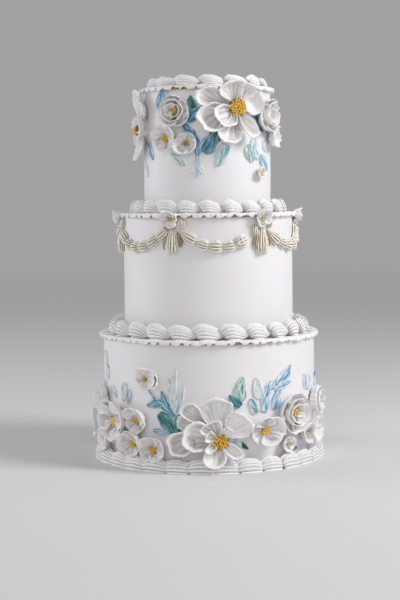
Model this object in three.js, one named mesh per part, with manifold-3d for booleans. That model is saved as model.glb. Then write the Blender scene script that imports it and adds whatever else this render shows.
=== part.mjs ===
// Three-tier wedding cake in white buttercream: three stacked round tiers with a
// piped shell border at each foot and on top, a ragged ribbon lip round each top
// edge, a garland of piped swags on the middle tier, and flowers spread with a
// palette knife on the top and bottom tiers.
//
// Millimetres, +Z up. The origin is the centre of the underside, on the board.
// Azimuth 0 is the front, -Y, and grows towards +X.

import * as THREE from "three";
import { mergeVertices } from "three/addons/utils/BufferGeometryUtils.js";
import Module from "manifold-3d";

const wasm = await Module();
wasm.setup();

// ---------------------------------------------------------------- dimensions

const GAP = 0.3; // left between two pieces that touch

// Cake rounds of 6, 8 and 10 inches, with their coat of buttercream.
const BOTTOM = { radius: 127, foot: 0, top: 148 };
const MIDDLE = { radius: 101.5, foot: BOTTOM.top + GAP, top: 290 };
const TOP = { radius: 76, foot: MIDDLE.top + GAP, top: 436 };
const TIER_SIDES = 40;
const TIER_EDGE = 1.2; // chamfer of a tier's top and bottom edges

// Shell borders: a shell swells to its head, then thins to a tail under the next.
// start is the azimuth of a head in degrees; each row's board is the tier below it.
const BORDERS = {
  border_base: { shells: 30, start: 7.7, wall: BOTTOM, foot: 0, middle: 131.5, outer: 140, height: 16 },
  border_lower: { shells: 24, start: -0.2, wall: MIDDLE, foot: MIDDLE.foot, middle: 112.5, outer: 122, height: 19 },
  border_middle: { shells: 22, start: 2.4, wall: TOP, foot: TOP.foot, middle: 87, outer: 96.5, height: 17 },
  border_top: { shells: 14, start: 5.5, wall: null, foot: TOP.top + GAP, middle: 65.5, outer: 75, height: 14 },
};
const SHELL_SWELL = [1, 0.88, 0.74]; // size of a shell at even steps from its head
const SHELL_ARC = 4; // steps over the back of a border

// Lips: a ribbon of buttercream pressed round the tier's top edge, torn in scallops.
const LIP = { pitch: 15.5, depth: 4.6, crest: 2.8, notch: 1.3, notchLift: 1.6 };

// Garland of the middle tier: rope swags between six flowers, a tassel under each.
const GARLAND = { count: 6, start: -23, height: 279, drop: 28 };
const SWAG = { beads: 5, bead: [4.1, 5.8], steps: 2, sides: 6, endGap: 8.6, relief: 0.55 };
const TASSEL = { length: 27, top: 3.2, bottom: 8.8, relief: 6.5, ridges: 5, clear: 5.9 };
const GARLAND_FLOWER = { reach: 5.4, petals: 5, relief: 6 };

// Flowers: azimuth in degrees, height of the centre, reach of the petals, how far
// they stand off the tier, and the number of petals.
const TOP_FLOWERS = [
  [22.5, 409, 34, 15, 6],
  [-24, 408, 18, 12, 5],
  [-34, 379, 13, 9, 5],
  [-15, 370, 12, 9, 5],
  [-64, 392, 22, 13, 5],
  [57, 405, 16, 12, 5],
  [72, 383, 12, 9, 5],
  [51, 337, 6, 5, 5],
  [121, 399, 21, 13, 5],
  [172, 404, 27, 14, 6],
  [214, 396, 18, 12, 5],
  [247, 381, 14, 10, 5],
];
const BOTTOM_FLOWERS = [
  [4, 45, 37, 15, 6],
  [26, 48, 18, 12, 5],
  [44, 62, 20, 13, 5],
  [53, 35, 10, 8, 5],
  [39, 28, 8, 6, 5],
  [-31, 107, 9, 8, 5],
  [-51, 53, 22, 13, 5],
  [-36, 60, 13, 9, 5],
  [-38, 32, 13, 9, 5],
  [-24, 31, 13, 9, 5],
  [-63, 28, 9, 7, 5],
  [-73, 74, 17, 12, 5],
  [-81, 42, 16, 12, 5],
  [73, 69, 18, 12, 5],
  [67, 37, 14, 10, 5],
  [108, 49, 24, 13, 5],
  [146, 46, 29, 14, 6],
  [177, 60, 18, 12, 5],
  [206, 47, 25, 13, 5],
  [243, 50, 24, 13, 5],
];
const FLOWER_FLOOR = BORDERS.border_base.height + 1; // flowers end above the base border
const LARGE_FLOWER = 17; // reach from which a flower has a ring more

// A flower's profile from its centre outwards, then under it back to the centre:
// share of the reach, and share of the relief on a petal and between two petals.
const LARGE_PROFILE = [
  [0, 0.86, 0.86],
  [0.2, 0.66, 0.66],
  [0.34, 0.4, 0.3],
  [0.74, 0.82, 0.5],
  [1, 0.7, 0.3],
  [0.9, 0, 0],
  [0, 0, 0],
];
const SMALL_PROFILE = [
  [0, 0.9, 0.9],
  [0.34, 0.5, 0.4],
  [0.82, 1, 0.6],
  [1, 0.55, 0.3],
  [0.85, 0, 0],
  [0, 0, 0],
];
const EMBED = 3; // how deep a piece's back starts in its tier before it is cut to fit
const PETAL_NOTCH = 0.82; // reach between two petals, as a share of the reach
const TURN_STEP = 2.4; // radians by which each flower is turned on from the last

// ----------------------------------------------------------------- materials

const finish = (name, color, roughness) => {
  const material = new THREE.MeshStandardMaterial({ color, roughness, metalness: 0 });
  material.name = name;
  return material;
};
const buttercream = finish("buttercream_white", 0xebe8ea, 0.6);
const piping = finish("piping_white", 0xefeceb, 0.5);
const champagne = finish("piping_champagne", 0xd9cbb4, 0.5);
const petal = finish("petal_white", 0xf0edea, 0.5);

// --------------------------------------------------------------- solid shapes

function toSolid(geometry) {
  const vertProperties = geometry.getAttribute("position").array;
  const triVerts = Uint32Array.from(geometry.getIndex().array);
  return new wasm.Manifold(new wasm.Mesh({ numProp: 3, vertProperties, triVerts }));
}

function toGeometry(solid) {
  const mesh = solid.getMesh();
  const geometry = new THREE.BufferGeometry();
  geometry.setAttribute("position", new THREE.BufferAttribute(mesh.vertProperties, 3));
  geometry.setIndex(new THREE.BufferAttribute(mesh.triVerts, 1));
  geometry.computeVertexNormals();
  return geometry;
}

// ------------------------------------------------------------------ geometry

// Moves each vertex of a closed geometry by a function of its position.
function reshape(geometry, move) {
  geometry.deleteAttribute("normal");
  geometry.deleteAttribute("uv");
  const merged = mergeVertices(geometry, 1e-5);
  const positions = merged.getAttribute("position");
  const point = new THREE.Vector3();
  for (let i = 0; i < positions.count; i++) {
    point.fromBufferAttribute(positions, i);
    const moved = move(point);
    positions.setXYZ(i, moved.x, moved.y, moved.z);
  }
  merged.computeVertexNormals();
  return merged;
}

// The point at an azimuth in radians, a radius and a height.
function place(azimuth, radius, height) {
  return new THREE.Vector3(radius * Math.sin(azimuth), -radius * Math.cos(azimuth), height);
}

// Wraps a flat layout round a tier: u along the side, v up and w off the surface.
function wrap(tier, azimuth, u, v, w) {
  return place(azimuth + u / tier.radius, tier.radius + GAP + w, v);
}

// A band that runs once round the cake. section(turn) gives the closed outline of
// the cut at a share of the turn, as [radius, height] pairs in anticlockwise order.
function band(steps, section) {
  const corners = section(0).length;
  const outline = [...Array(corners + 1)].map((_, i) => {
    const angle = (2 * Math.PI * (i % corners)) / corners;
    return new THREE.Vector2(2 + Math.cos(angle), Math.sin(angle));
  });
  const geometry = new THREE.LatheGeometry(outline, steps);
  return reshape(geometry, (point) => {
    const turn = Math.atan2(point.x, point.z) / (2 * Math.PI);
    const across = Math.hypot(point.x, point.z) - 2;
    const corner = Math.round((Math.atan2(point.y, across) * corners) / (2 * Math.PI));
    const [radius, height] = section((turn + 1) % 1)[(corner + corners) % corners];
    return place(2 * Math.PI * turn, radius, height);
  });
}

// A tier's body, turned from its outline.
function tierBody({ radius, foot, top }) {
  const outline = [
    [0, foot],
    [radius - TIER_EDGE, foot],
    [radius, foot + TIER_EDGE],
    [radius, top - TIER_EDGE],
    [radius - TIER_EDGE, top],
    [0, top],
  ];
  const geometry = new THREE.LatheGeometry(outline.map(([r, z]) => new THREE.Vector2(r, z)), TIER_SIDES);
  geometry.rotateX(Math.PI / 2);
  return reshape(geometry, (point) => point);
}

// Cuts a piece's back to the side of its tier, with the gap between them.
function seatOn(tier, geometry) {
  const { radius, foot, top } = tier;
  const room = tierBody({ radius: radius + GAP, foot: foot - 1, top: top + 1 });
  return toGeometry(toSolid(geometry).subtract(toSolid(room)));
}

// A shell border: an arched band whose arch swells and thins once for each shell.
function shellBorder({ shells, start, wall, foot, middle, outer, height }) {
  const steps = shells * SHELL_SWELL.length;
  const inner = wall ? wall.radius + GAP : 2 * middle - outer;
  const border = band(steps, (turn) => {
    const swell = SHELL_SWELL[Math.round(turn * steps) % SHELL_SWELL.length];
    const arch = [...Array(SHELL_ARC + 1)].map((_, i) => {
      const angle = (Math.PI * i) / SHELL_ARC;
      const reach = Math.cos(angle) > 0 ? outer - middle : middle - inner;
      const across = Math.max(inner, middle + reach * swell * Math.cos(angle));
      return [across, foot + height * swell * Math.sin(angle)];
    });
    arch[SHELL_ARC][0] = inner;
    return arch;
  });
  return border.rotateZ(THREE.MathUtils.degToRad(start));
}

// A lip: scallops round the tier's top edge, with a notch between two of them.
function ribbonLip({ radius, top }) {
  const steps = 2 * Math.round((2 * Math.PI * radius) / LIP.pitch);
  return band(steps, (turn) => {
    const notch = Math.round(turn * steps) % 2;
    const reach = notch ? LIP.notch : LIP.crest;
    const under = top - LIP.depth + (notch ? LIP.notchLift : 0);
    return [
      [radius + GAP, under],
      [radius + GAP + reach, top - LIP.depth / 2],
      [radius + GAP, top],
    ];
  });
}

// Whether a direction from a flower's centre falls between two of its petals.
function isBetween(flower, direction) {
  return Math.round(((direction - flower.turn) * flower.petals) / Math.PI) % 2 !== 0;
}

// How far a flower reaches in a direction: its petal's outline, cut short half way
// to each neighbour and where the tier's lip or border begins.
function reachOf(flower, neighbours, limits, direction) {
  let reach = flower.reach * (isBetween(flower, direction) ? PETAL_NOTCH : 1);
  for (const other of neighbours) {
    const [du, dv] = [other.u - flower.u, other.v - flower.v];
    const distance = Math.hypot(du, dv);
    const half = (distance ** 2 + flower.reach ** 2 - other.reach ** 2) / (2 * distance) - GAP;
    const cosine = (du * Math.cos(direction) + dv * Math.sin(direction)) / distance;
    if (cosine > 0) reach = Math.min(reach, half / cosine);
  }
  const rise = Math.sin(direction);
  if (rise > 0) reach = Math.min(reach, (limits.high - flower.v) / rise);
  if (rise < 0) reach = Math.min(reach, (limits.low - flower.v) / rise);
  return reach;
}

// A flower with its petals, its hollow and its boss of stamens, wrapped on a tier.
function flowerHead(tier, flower, neighbours, limits) {
  const profile = flower.reach > LARGE_FLOWER ? LARGE_PROFILE : SMALL_PROFILE;
  const rings = profile.length - 1;
  const geometry = new THREE.SphereGeometry(1, 2 * flower.petals, rings).rotateY(flower.turn);
  const head = reshape(geometry, (point) => {
    const ring = Math.round((Math.acos(THREE.MathUtils.clamp(point.y, -1, 1)) * rings) / Math.PI);
    const direction = Math.atan2(point.x, point.z);
    const [share, onPetal, betweenPetals] = profile[ring];
    const reach = share * reachOf(flower, neighbours, limits, direction);
    const height = isBetween(flower, direction) ? betweenPetals : onPetal;
    const relief = height > 0 ? flower.relief * height : -EMBED;
    const [u, v] = [reach * Math.cos(direction), reach * Math.sin(direction)];
    return wrap(tier, 0, flower.u + u, flower.v + v, relief);
  });
  return seatOn(tier, head);
}

// The height of the garland's rope at a share of its span, from 0 to 1.
function sag(share) {
  return GARLAND.height - GARLAND.drop * (1 - (2 * share - 1) ** 2);
}

// A swag: a rope of beads, each thicker at its end, flat against the tier.
function swagRope(azimuth, span) {
  const length = span * MIDDLE.radius - 2 * SWAG.endGap;
  const steps = SWAG.beads * SWAG.steps;
  const geometry = new THREE.CylinderGeometry(1, 1, 1, SWAG.sides, steps);
  return reshape(geometry, (point) => {
    const share = THREE.MathUtils.clamp(point.y + 0.5, 0, 1);
    const step = Math.round(share * steps);
    const girth = step % SWAG.steps ? SWAG.bead[1] : SWAG.bead[0];
    const slope = (sag(share + 0.01) - sag(share - 0.01)) / (0.02 * length);
    const tilt = Math.atan(slope);
    const across = girth * point.x;
    const off = girth * SWAG.relief * (1 + point.z);
    const u = SWAG.endGap + share * length + across * Math.sin(tilt);
    return wrap(MIDDLE, azimuth, u, sag(share) - across * Math.cos(tilt), off);
  });
}

// A tassel: a ridged skirt that widens downwards under the garland's flower.
function tassel(azimuth) {
  const columns = 2 * TASSEL.ridges;
  const geometry = new THREE.CylinderGeometry(1, 1, 1, columns, 2);
  return reshape(geometry, (point) => {
    const down = 0.5 - point.y;
    const width = THREE.MathUtils.lerp(TASSEL.top, TASSEL.bottom, Math.sin((down * Math.PI) / 2));
    const column = Math.round((Math.atan2(point.x, point.z) * columns) / (2 * Math.PI));
    const ridge = column % 2 ? 0.8 : 1;
    const u = width * point.x;
    const w = TASSEL.relief * (0.35 + 0.65 * down) * ridge * (1 + point.z) * 0.5;
    return wrap(MIDDLE, azimuth, u, GARLAND.height - TASSEL.clear - down * TASSEL.length, w);
  });
}

// ------------------------------------------------------------------ the cake

const cake = new THREE.Group();

function add(name, geometry, material) {
  const mesh = new THREE.Mesh(geometry, material);
  mesh.name = name;
  cake.add(mesh);
}

const number = (index) => String(index + 1).padStart(2, "0");

for (const [name, tier] of Object.entries({ bottom: BOTTOM, middle: MIDDLE, top: TOP })) {
  add(`tier_${name}`, tierBody(tier), buttercream);
  add(`lip_${name}`, ribbonLip(tier), piping);
}

for (const [name, border] of Object.entries(BORDERS)) {
  add(name, shellBorder(border), piping);
}

function addFlowers(prefix, tier, table, limits) {
  const flowers = table.map(([degrees, v, reach, relief, petals], index) => {
    const u = THREE.MathUtils.degToRad(degrees) * tier.radius;
    return { u, v, reach, relief, petals, turn: index * TURN_STEP };
  });
  // A flower near the back has a neighbour across the seam of the flat layout.
  const girth = 2 * Math.PI * tier.radius;
  const copies = [-girth, 0, girth].flatMap((shift) =>
    flowers.map((flower) => ({ ...flower, u: flower.u + shift })),
  );
  flowers.forEach((flower, index) => {
    const near = copies.filter((other) => {
      const distance = Math.hypot(other.u - flower.u, other.v - flower.v);
      return distance > 0 && distance < flower.reach + other.reach;
    });
    add(`${prefix}_${number(index)}`, flowerHead(tier, flower, near, limits), petal);
  });
}

const underLip = (tier) => tier.top - LIP.depth - GAP;
addFlowers("flower_top", TOP, TOP_FLOWERS, { low: TOP.foot + BORDERS.border_middle.height, high: underLip(TOP) });
addFlowers("flower_bottom", BOTTOM, BOTTOM_FLOWERS, { low: FLOWER_FLOOR, high: underLip(BOTTOM) });

for (let i = 0; i < GARLAND.count; i++) {
  const span = (2 * Math.PI) / GARLAND.count;
  const azimuth = THREE.MathUtils.degToRad(GARLAND.start) + i * span;
  const bloom = { ...GARLAND_FLOWER, u: azimuth * MIDDLE.radius, v: GARLAND.height, turn: i * TURN_STEP };
  add(`swag_${number(i)}`, swagRope(azimuth, span), champagne);
  add(`tassel_${number(i)}`, tassel(azimuth), champagne);
  add(`garland_flower_${number(i)}`, flowerHead(MIDDLE, bloom, [], { low: 0, high: underLip(MIDDLE) }), petal);
}

export default cake;
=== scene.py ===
import math
import random

import bmesh
import bpy
from mathutils import Matrix, Vector, noise


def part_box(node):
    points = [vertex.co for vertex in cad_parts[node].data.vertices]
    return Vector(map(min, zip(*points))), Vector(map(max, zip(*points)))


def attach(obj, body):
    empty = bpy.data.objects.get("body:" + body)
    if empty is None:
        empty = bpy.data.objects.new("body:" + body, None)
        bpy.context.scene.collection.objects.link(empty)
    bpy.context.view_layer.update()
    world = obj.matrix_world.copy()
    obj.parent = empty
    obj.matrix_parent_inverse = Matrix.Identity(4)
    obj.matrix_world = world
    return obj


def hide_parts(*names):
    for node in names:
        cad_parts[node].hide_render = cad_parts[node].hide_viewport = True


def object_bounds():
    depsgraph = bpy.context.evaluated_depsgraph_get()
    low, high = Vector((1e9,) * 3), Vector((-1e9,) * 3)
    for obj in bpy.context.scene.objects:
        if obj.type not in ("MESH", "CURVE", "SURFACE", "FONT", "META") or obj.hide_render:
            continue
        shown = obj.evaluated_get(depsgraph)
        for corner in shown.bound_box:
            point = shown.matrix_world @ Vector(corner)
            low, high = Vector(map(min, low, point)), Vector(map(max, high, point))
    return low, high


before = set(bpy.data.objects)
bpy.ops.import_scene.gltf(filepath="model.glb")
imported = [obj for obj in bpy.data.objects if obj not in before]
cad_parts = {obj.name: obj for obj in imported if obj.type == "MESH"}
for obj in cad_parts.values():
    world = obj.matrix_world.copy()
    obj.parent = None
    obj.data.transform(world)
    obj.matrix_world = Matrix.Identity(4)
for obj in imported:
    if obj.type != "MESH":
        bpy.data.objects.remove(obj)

cad_low, cad_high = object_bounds()


# ---------------------------------------------------------------- the setting
# The cake stands on a plain pale floor. A camera at table height looks slightly
# down on it, and one broad soft light from the right models the white piping.

MM = 0.001
CAMERA_PLACE = (0, -1606 * MM, 307.8 * MM)
CAMERA_PITCH = math.radians(4.35)
CAMERA_YAW = math.radians(0.365)
CAMERA_ROLL = math.radians(-0.56)

camera = bpy.data.cameras.new("camera")
camera.sensor_fit = "VERTICAL"
camera.sensor_height = 36
camera.lens = 80
camera_object = bpy.data.objects.new("camera", camera)
bpy.context.collection.objects.link(camera_object)
camera_object.matrix_world = (
    Matrix.Translation(CAMERA_PLACE)
    @ Matrix.Rotation(CAMERA_YAW, 4, "Z")
    @ Matrix.Rotation(math.pi / 2 - CAMERA_PITCH, 4, "X")
    @ Matrix.Rotation(CAMERA_ROLL, 4, "Z")
)
bpy.context.scene.camera = camera_object
bpy.context.scene.view_settings.view_transform = "Standard"
bpy.context.scene.view_settings.look = "None"

aim = Vector((0, 0, (cad_low[2] + cad_high[2]) / 2))


def soft_light(name, azimuth, height, distance, size, power, color):
    """A rectangular light that faces the middle of the cake from an azimuth in degrees.
    Its height, distance and size are in metres and its power in watts."""
    light = bpy.data.lights.new(name, "AREA")
    light.shape = "RECTANGLE"
    light.size, light.size_y = size
    light.energy = power
    light.color = color
    holder = bpy.data.objects.new(name, light)
    turn = math.radians(azimuth)
    holder.location = (distance * math.sin(turn), -distance * math.cos(turn), height)
    holder.rotation_euler = (holder.location - aim).to_track_quat("Z", "Y").to_euler()
    bpy.context.collection.objects.link(holder)


soft_light("window_right", 68, 1.35, 1.7, (0.7, 0.8), 27, (0.985, 0.985, 1.0))
soft_light("fill_left", -100, 0.7, 2.1, (1.4, 1.6), 17, (0.97, 0.97, 1.0))
soft_light("fill_front", -12, 1.1, 2.6, (1.8, 1.2), 10, (1.0, 0.985, 1.0))

ROOM_COLOR = (0.90, 0.895, 0.92)
ROOM_STRENGTH = 0.4
world = bpy.data.worlds.new("room")
bpy.context.scene.world = world
world.use_nodes = True
world.node_tree.nodes["Background"].inputs["Color"].default_value = (*ROOM_COLOR, 1)
world.node_tree.nodes["Background"].inputs["Strength"].default_value = ROOM_STRENGTH


class Wire:
    """A socket of a material. Arithmetic on it adds Math nodes."""

    def __init__(self, tree, socket=None):
        self.tree, self.socket = tree, socket

    def node(self, kind, inputs, out=0, stops=None, **settings):
        """Adds a node and returns one of its outputs. stops fills a colour ramp."""
        made = self.tree.nodes.new(kind)
        for name, value in settings.items():
            setattr(made, name, value)
        if stops:
            ramp = made.color_ramp
            for element, (place, color) in zip(list(ramp.elements), (stops[0], stops[-1])):
                element.position, element.color = place, (*color, 1)
            for place, color in stops[1:-1]:
                ramp.elements.new(place).color = (*color, 1)
        for key, value in inputs.items():
            if isinstance(value, Wire):
                self.tree.links.new(value.socket, made.inputs[key])
            else:
                made.inputs[key].default_value = value
        return Wire(self.tree, made.outputs[out])

    def math(self, operation, first, second):
        return self.node("ShaderNodeMath", {0: first, 1: second}, operation=operation)

    def __add__(self, other):
        return self.math("ADD", self, other)

    def __sub__(self, other):
        return self.math("SUBTRACT", self, other)

    def __mul__(self, other):
        return self.math("MULTIPLY", self, other)

    def mix(self, first, second):
        """Mixes two colours by this value."""
        colors = {"Factor": self, 6: first, 7: second}
        return self.node("ShaderNodeMix", colors, out=2, data_type="RGBA", clamp_factor=True)

    def ramp(self, low, high):
        """This value stretched so that low gives 0 and high gives 1."""
        limits = {"Value": self, "From Min": low, "From Max": high}
        return self.node("ShaderNodeMapRange", limits, clamp=True)


def noise_at(place, scale, detail=3.0, roughness=0.55, stretch=(1, 1, 1)):
    """Fractal noise in the cake's own metres; stretch sets its grain along each axis."""
    mapped = place.node("ShaderNodeMapping", {"Vector": place, "Scale": stretch})
    look = {"Vector": mapped, "Scale": scale, "Detail": detail, "Roughness": roughness}
    return place.node("ShaderNodeTexNoise", look)


def attribute(place, name):
    """A value that the mesh carries at each vertex."""
    return place.node("ShaderNodeAttribute", {}, out="Fac", attribute_name=name)


def finish(name, paint, glow=None, **constants):
    """A Principled material. paint(place) returns colour, roughness and bump height in
    metres; glow(place) returns a colour that it gives off."""
    material = bpy.data.materials.new(name)
    material.use_nodes = True
    tree = material.node_tree
    shader = tree.nodes["Principled BSDF"]
    place = Wire(tree).node("ShaderNodeTexCoord", {}, out="Object")
    color, roughness, height = paint(place)
    tree.links.new(color.socket, shader.inputs["Base Color"])
    tree.links.new(roughness.socket, shader.inputs["Roughness"])
    if height:
        bump = place.node("ShaderNodeBump", {"Height": height, "Distance": 1.0, "Strength": 1.0})
        tree.links.new(bump.socket, shader.inputs["Normal"])
    if glow:
        tree.links.new(glow(place).socket, shader.inputs["Emission Color"])
        shader.inputs["Emission Strength"].default_value = 1
    for socket, value in constants.items():
        shader.inputs[socket.replace("_", " ")].default_value = value
    return material


# In metres: half the floor's side, and where it begins and ends to fade into the room
FLOOR_HALF = 30
FADE_BEGINS, FADE_ENDS = 0.35, 4.5


def far_away(place):
    """0 round the cake and 1 where the floor runs into the room."""
    length = place.node("ShaderNodeVectorMath", {0: place}, out="Value", operation="LENGTH")
    return length.ramp(FADE_BEGINS, FADE_ENDS)


def floor_paint(place):
    """A pale matt floor that loses its own colour far away."""
    grain = noise_at(place, 3.0)
    pale = grain.mix((0.72, 0.72, 0.71, 1), (0.75, 0.75, 0.74, 1))
    return far_away(place).mix(pale, (0, 0, 0, 1)), grain * 0.1 + 0.75, None


def floor_glow(place):
    """The far floor takes the tone of the room, so no horizon shows."""
    room = [ROOM_STRENGTH * part for part in ROOM_COLOR]
    return far_away(place).mix((0, 0, 0, 1), (*room, 1))


bm = bmesh.new()
bmesh.ops.create_grid(bm, x_segments=8, y_segments=8, size=FLOOR_HALF)
floor_mesh = bpy.data.meshes.new("floor")
bm.to_mesh(floor_mesh)
bm.free()
pale_floor = finish("pale_floor", floor_paint, glow=floor_glow, Specular_IOR_Level=0.0)
floor_mesh.materials.append(pale_floor)
floor = bpy.data.objects.new("floor", floor_mesh)
bpy.context.collection.objects.link(floor)


# ------------------------------------------------------------------ the tiers
# Three rounds of sponge, each under a coat of white buttercream that is drawn
# smooth with a long straight scraper, so faint level marks run round the sides.

TIER_STEPS = 240
SIDE_ROWS = 44
FOOT_BEVEL = 1 * MM
EDGE_ROUND = 2.2 * MM
EDGE_STEPS = 4
EVEN_FOOT = 3 * MM
UNEVEN = 0.35 * MM

tiers = {}
for tier_name in ("bottom", "middle", "top"):
    low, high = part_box(f"tier_{tier_name}")
    tiers[tier_name] = {"radius": high.x, "foot": low.z, "top": high.z}
BOTTOM, MIDDLE, TOP = tiers["bottom"], tiers["middle"], tiers["top"]


def new_piece(name, bm, materials, nodes=()):
    """Makes the finished mesh a piece of the cake, in place of the named solids."""
    bmesh.ops.recalc_face_normals(bm, faces=bm.faces)
    for face in bm.faces:
        face.smooth = True
    mesh = bpy.data.meshes.new(name)
    bm.to_mesh(mesh)
    bm.free()
    for material in materials:
        mesh.materials.append(material)
    piece = bpy.data.objects.new(name, mesh)
    bpy.context.collection.objects.link(piece)
    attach(piece, "root")
    if nodes:
        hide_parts(*nodes)
    return piece


def turned(outline, steps):
    """A bmesh of an outline of (radius, height) pairs, spun once round the cake's axis."""
    bm = bmesh.new()
    points = [bm.verts.new((radius, 0, height)) for radius, height in outline]
    edges = [bm.edges.new(pair) for pair in zip(points, points[1:])]
    whole = points + edges
    bmesh.ops.spin(
        bm, geom=whole, cent=(0, 0, 0), axis=(0, 0, 1), angle=2 * math.pi, steps=steps, use_merge=True
    )
    bmesh.ops.remove_doubles(bm, verts=bm.verts, dist=1e-6)
    return bm


def azimuth_of(point):
    """The azimuth of a point in radians, counted from the front towards +X."""
    return math.atan2(point.x, -point.y)


def around(azimuth, radius, height):
    """The point at an azimuth, a distance from the axis and a height."""
    return Vector((radius * math.sin(azimuth), -radius * math.cos(azimuth), height))


def buttercream_paint(place):
    """Smooth white coat: faint clouds, level scraper marks and pores."""
    cloud = noise_at(place, 9.0, 2.0)
    scraped = noise_at(place, 22.0, 3.0, 0.5, (1, 1, 5))
    pores = noise_at(place, 700.0, 2.0)
    color = cloud.ramp(0.3, 0.7).mix((0.845, 0.828, 0.840, 1), (0.875, 0.858, 0.866, 1))
    height = scraped * (0.16 * MM) + pores * (0.02 * MM)
    return color, scraped * 0.2 + 0.42, height


buttercream = finish("buttercream", buttercream_paint, Subsurface_Weight=0.12, Subsurface_Scale=0.004)

for tier_name, tier in tiers.items():
    radius, foot, top = tier["radius"], tier["foot"], tier["top"]
    side_foot = foot + FOOT_BEVEL
    side_height = top - foot - FOOT_BEVEL - EDGE_ROUND
    outline = [(0, foot), (radius * 0.5, foot), (radius - FOOT_BEVEL, foot), (radius, side_foot)]
    outline += [(radius, side_foot + side_height * row / SIDE_ROWS) for row in range(1, SIDE_ROWS)]
    for step in range(EDGE_STEPS + 1):
        angle = math.radians(90 * step / EDGE_STEPS)
        inward, downward = 1 - math.cos(angle), 1 - math.sin(angle)
        outline.append((radius - EDGE_ROUND * inward, top - EDGE_ROUND * downward))
    outline += [(radius * share, top) for share in (0.9, 0.8, 0.6, 0.4, 0.2, 0)]
    bm = turned(outline, TIER_STEPS)
    for vert in bm.verts:
        reach = math.hypot(vert.co.x, vert.co.y)
        if reach > radius * 0.95 and vert.co.z > foot + EVEN_FOOT:
            wave = noise.noise(Vector((vert.co.x * 14, vert.co.y * 14, vert.co.z * 22)))
            level = noise.noise(Vector((vert.co.x * 4, vert.co.y * 4, vert.co.z * 160)))
            change = UNEVEN * (0.8 * wave + 0.35 * level) - UNEVEN
            vert.co.x *= 1 + change / reach
            vert.co.y *= 1 + change / reach
    new_piece(f"{tier_name}_tier", bm, [buttercream], [f"tier_{tier_name}"])


# ------------------------------------------------------------------- the lips
# A ribbon of stiff white buttercream pressed round each top edge with a knife. Its
# hem is torn in scallops, and a line of gold-brown colour behind it, painted dark
# as the shade under the hem, shows through the notches.

LIP_PITCH = 12.6 * MM
LIP_STEPS = 16
LIP_IN = 6.5 * MM
LIP_RISE = 1.3 * MM
LIP_DROP = 4.1 * MM
LIP_OUT = 4.1 * MM
# The half width of a notch, as a share of its scallop, and its height, as a share of the hem's
NOTCH_HALF = 0.3
NOTCH_LIFT = 0.85


def piping_paint(place):
    """White piping. The gold attribute is 1 where gold-brown colour was brushed on, and under
    the lip's hem its dark brown is painted shade as well. groove is 1 at the bottom of a
    groove, which little light reaches, and there the white is darkened as painted shade."""
    gilt_and_shade = attribute(place, "gilt_and_shade")
    groove = attribute(place, "groove")
    patch = noise_at(place, 420.0, 2.0)
    fine = noise_at(place, 900.0, 2.0)
    white = noise_at(place, 60.0).mix((0.905, 0.893, 0.89, 1), (0.935, 0.923, 0.915, 1))
    # Painted shade: the white darkens to grey at the bottom of the grooves.
    white = (groove * (patch * 0.6 + 0.7)).ramp(0.1, 1.0).mix(white, (0.40, 0.375, 0.375, 1))
    gold = patch.ramp(0.35, 0.65).mix((0.20, 0.10, 0.03, 1), (0.50, 0.32, 0.12, 1))
    color = (gilt_and_shade * (patch * 0.8 + 0.6)).ramp(0.3, 0.6).mix(white, gold)
    return color, fine * 0.2 + 0.4, fine * (0.05 * MM)


piping = finish("piping", piping_paint)


def smooth_step(low, high, value):
    """0 up to low, 1 from high on and a smooth rise between them."""
    share = max(0.0, min(1.0, (value - low) / (high - low)))
    return share * share * (3 - 2 * share)


def ring_noise(azimuth, waves, level):
    """Noise along a ring, so that it has no seam. More waves make it finer."""
    return noise.noise(Vector((math.cos(azimuth) * waves, math.sin(azimuth) * waves, level)))


def hem(azimuth, count, seed):
    """(within, notch) at an azimuth: the place in its scallop, from 0 to 1, and 1 in a notch."""
    turn = azimuth / (2 * math.pi) + 0.5
    place = turn * count + 0.45 * ring_noise(azimuth, 11, seed)
    within = place - math.floor(place)
    odd = noise.noise(Vector((round(place) % count * 3.7, seed * 1.3, 0.5)))
    half = NOTCH_HALF * (1 + 0.8 * odd)
    return within, max(0.0, 1 - min(within, 1 - within) / half)


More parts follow.
